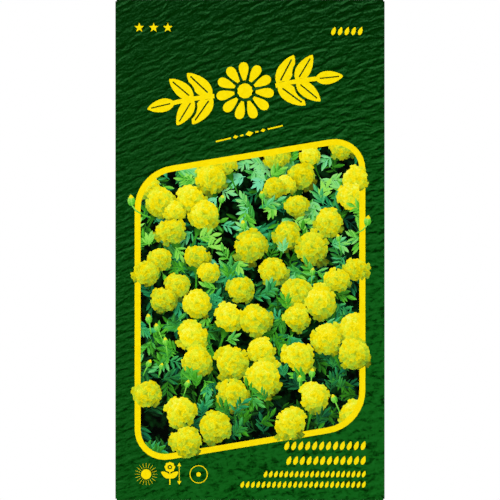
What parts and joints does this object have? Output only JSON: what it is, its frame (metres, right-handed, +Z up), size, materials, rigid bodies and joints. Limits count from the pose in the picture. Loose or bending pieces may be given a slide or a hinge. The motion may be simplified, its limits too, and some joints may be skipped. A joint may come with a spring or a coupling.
{
  "type": "seed packet",
  "caption": "Flat sealed paper packet of flower seed, lying on its back: a folded printed sheet with a lapped back seam and end flaps, round a sachet of loose seeds.",
  "frame": {"origin": "on the surface that the packet lies on, under the middle of its outline", "axes": "+Z up, the way the printed front faces; +Y towards the packet's top end; +X towards the right edge, seen from the front"},
  "size_m": [0.08, 0.149, 0.0037],
  "materials": {
    "printed_paper": "satin coated paper with a printed picture",
    "sachet_paper": "matt thin paper",
    "seed_husk": "dry and matt"
  },
  "bodies": {
    "root": {"envelope": "printed_paper", "sachet_back_web": "sachet_paper", "sachet_front_web": "sachet_paper", "seed_01": "seed_husk", "seed_02": "seed_husk", "seed_03": "seed_husk", "seed_04": "seed_husk", "seed_05": "seed_husk", "seed_06": "seed_husk", "seed_07": "seed_husk", "seed_08": "seed_husk", "seed_09": "seed_husk", "seed_10": "seed_husk", "seed_11": "seed_husk", "seed_12": "seed_husk", "seed_13": "seed_husk", "seed_14": "seed_husk", "seed_15": "seed_husk", "seed_16": "seed_husk", "seed_17": "seed_husk", "seed_18": "seed_husk", "seed_19": "seed_husk", "seed_20": "seed_husk", "seed_21": "seed_husk", "seed_22": "seed_husk", "seed_23": "seed_husk", "seed_24": "seed_husk", "seed_25": "seed_husk", "seed_26": "seed_husk", "seed_27": "seed_husk", "seed_28": "seed_husk", "seed_29": "seed_husk", "seed_30": "seed_husk", "seed_31": "seed_husk", "seed_32": "seed_husk", "seed_33": "seed_husk", "seed_34": "seed_husk", "seed_35": "seed_husk", "seed_36": "seed_husk"}
  },
  "joints": []
}
